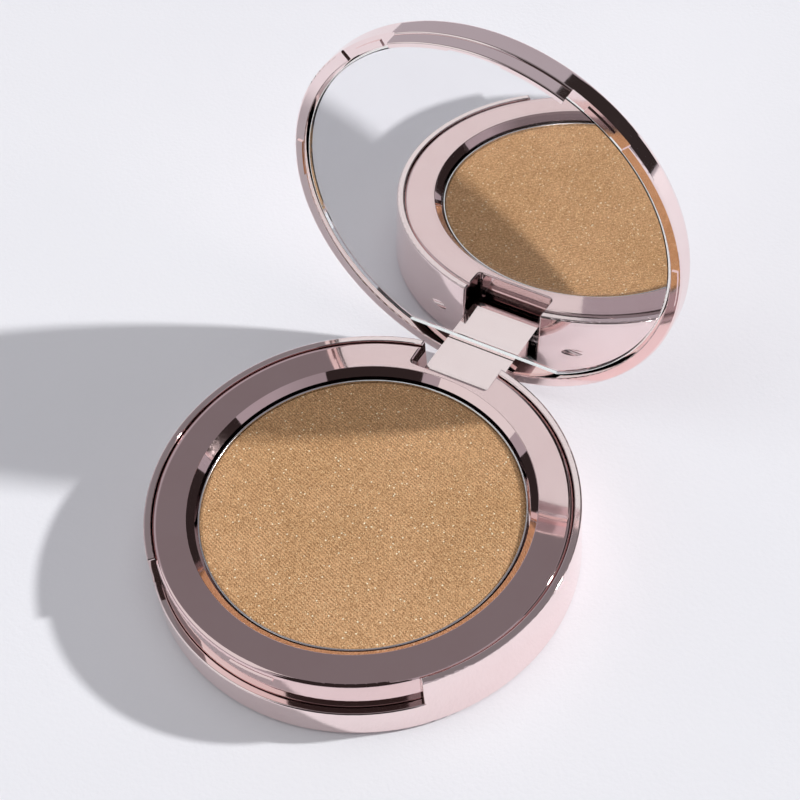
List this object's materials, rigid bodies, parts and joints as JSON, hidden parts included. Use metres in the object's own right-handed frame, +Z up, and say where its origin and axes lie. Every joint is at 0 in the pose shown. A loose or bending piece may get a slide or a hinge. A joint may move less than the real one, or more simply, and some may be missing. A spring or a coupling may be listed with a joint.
{
  "type": "powder compact",
  "caption": "Round hinged compact: a plated base holds a pan of pressed powder, and a thin lid carries a mirror and a thumb tab that snaps shut.",
  "frame": {"origin": "centre of the base's underside, on the plane that it stands on", "axes": "+Z up, -Y to the front with the thumb recess, +Y to the hinge, X along the hinge pins"},
  "size_m": [0.078, 0.0942, 0.0797],
  "materials": {
    "rose_gold_shell": "moulded plastic with a bright rose-gold vacuum plating",
    "rose_gold_deck": "mirror-bright rose-gold vacuum plating",
    "pan_metal": "bright drawn sheet",
    "pressed_powder": "pressed bronze shimmer powder with a fine woven imprint",
    "mirror_silver": "silvered glass with a ground edge",
    "pin_steel": "bright drawn wire",
    "glue": "set hot-melt glue",
    "tape": "white foam tape",
    "label_paper": "satin coated paper, blank"
  },
  "bodies": {
    "base": {"base_shell": "rose_gold_shell", "deck_tray": "rose_gold_deck", "pan_glue_ring": "glue", "powder_pan": "pan_metal", "pressed_powder": "pressed_powder", "hinge_pin_left": "pin_steel", "hinge_pin_right": "pin_steel", "underside_label": "label_paper"},
    "lid": {"lid_shell": "rose_gold_shell", "mirror_tape": "tape", "mirror_glass": "mirror_silver"}
  },
  "joints": [
    {"name": "lid_hinge", "type": "hinge", "parent": "base", "child": "lid", "pos_m": [0, 0.0361, 0.00565], "axis": [-1, 0, 0], "range_deg": [-95, 8]}
  ]
}
